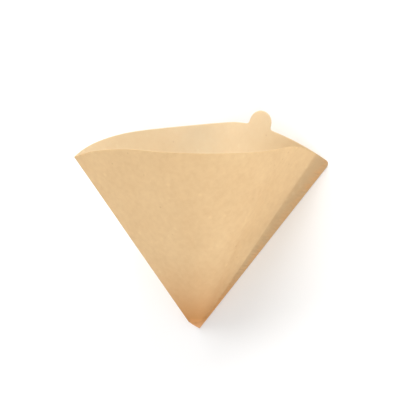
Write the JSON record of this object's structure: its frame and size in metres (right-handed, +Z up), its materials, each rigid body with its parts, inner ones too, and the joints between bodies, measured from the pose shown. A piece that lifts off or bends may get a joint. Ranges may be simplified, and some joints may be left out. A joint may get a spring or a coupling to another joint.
{
  "type": "paper coffee filter",
  "caption": "Cone coffee filter of unbleached paper, folded at one edge and crimped at the other, opened and lying on its side, with a rounded lifting tab on its rim.",
  "frame": {"origin": "centre of the bounding box's base, on the surface that the filter lies on", "axes": "+Z up, +Y level along the cone from its tip to its open mouth, +X across towards the crimped seam"},
  "size_m": [0.124, 0.1226, 0.0873],
  "materials": {
    "paper": "matte unbleached paper with visible fibres"
  },
  "bodies": {
    "root": {"filter_paper": "paper"}
  },
  "joints": []
}
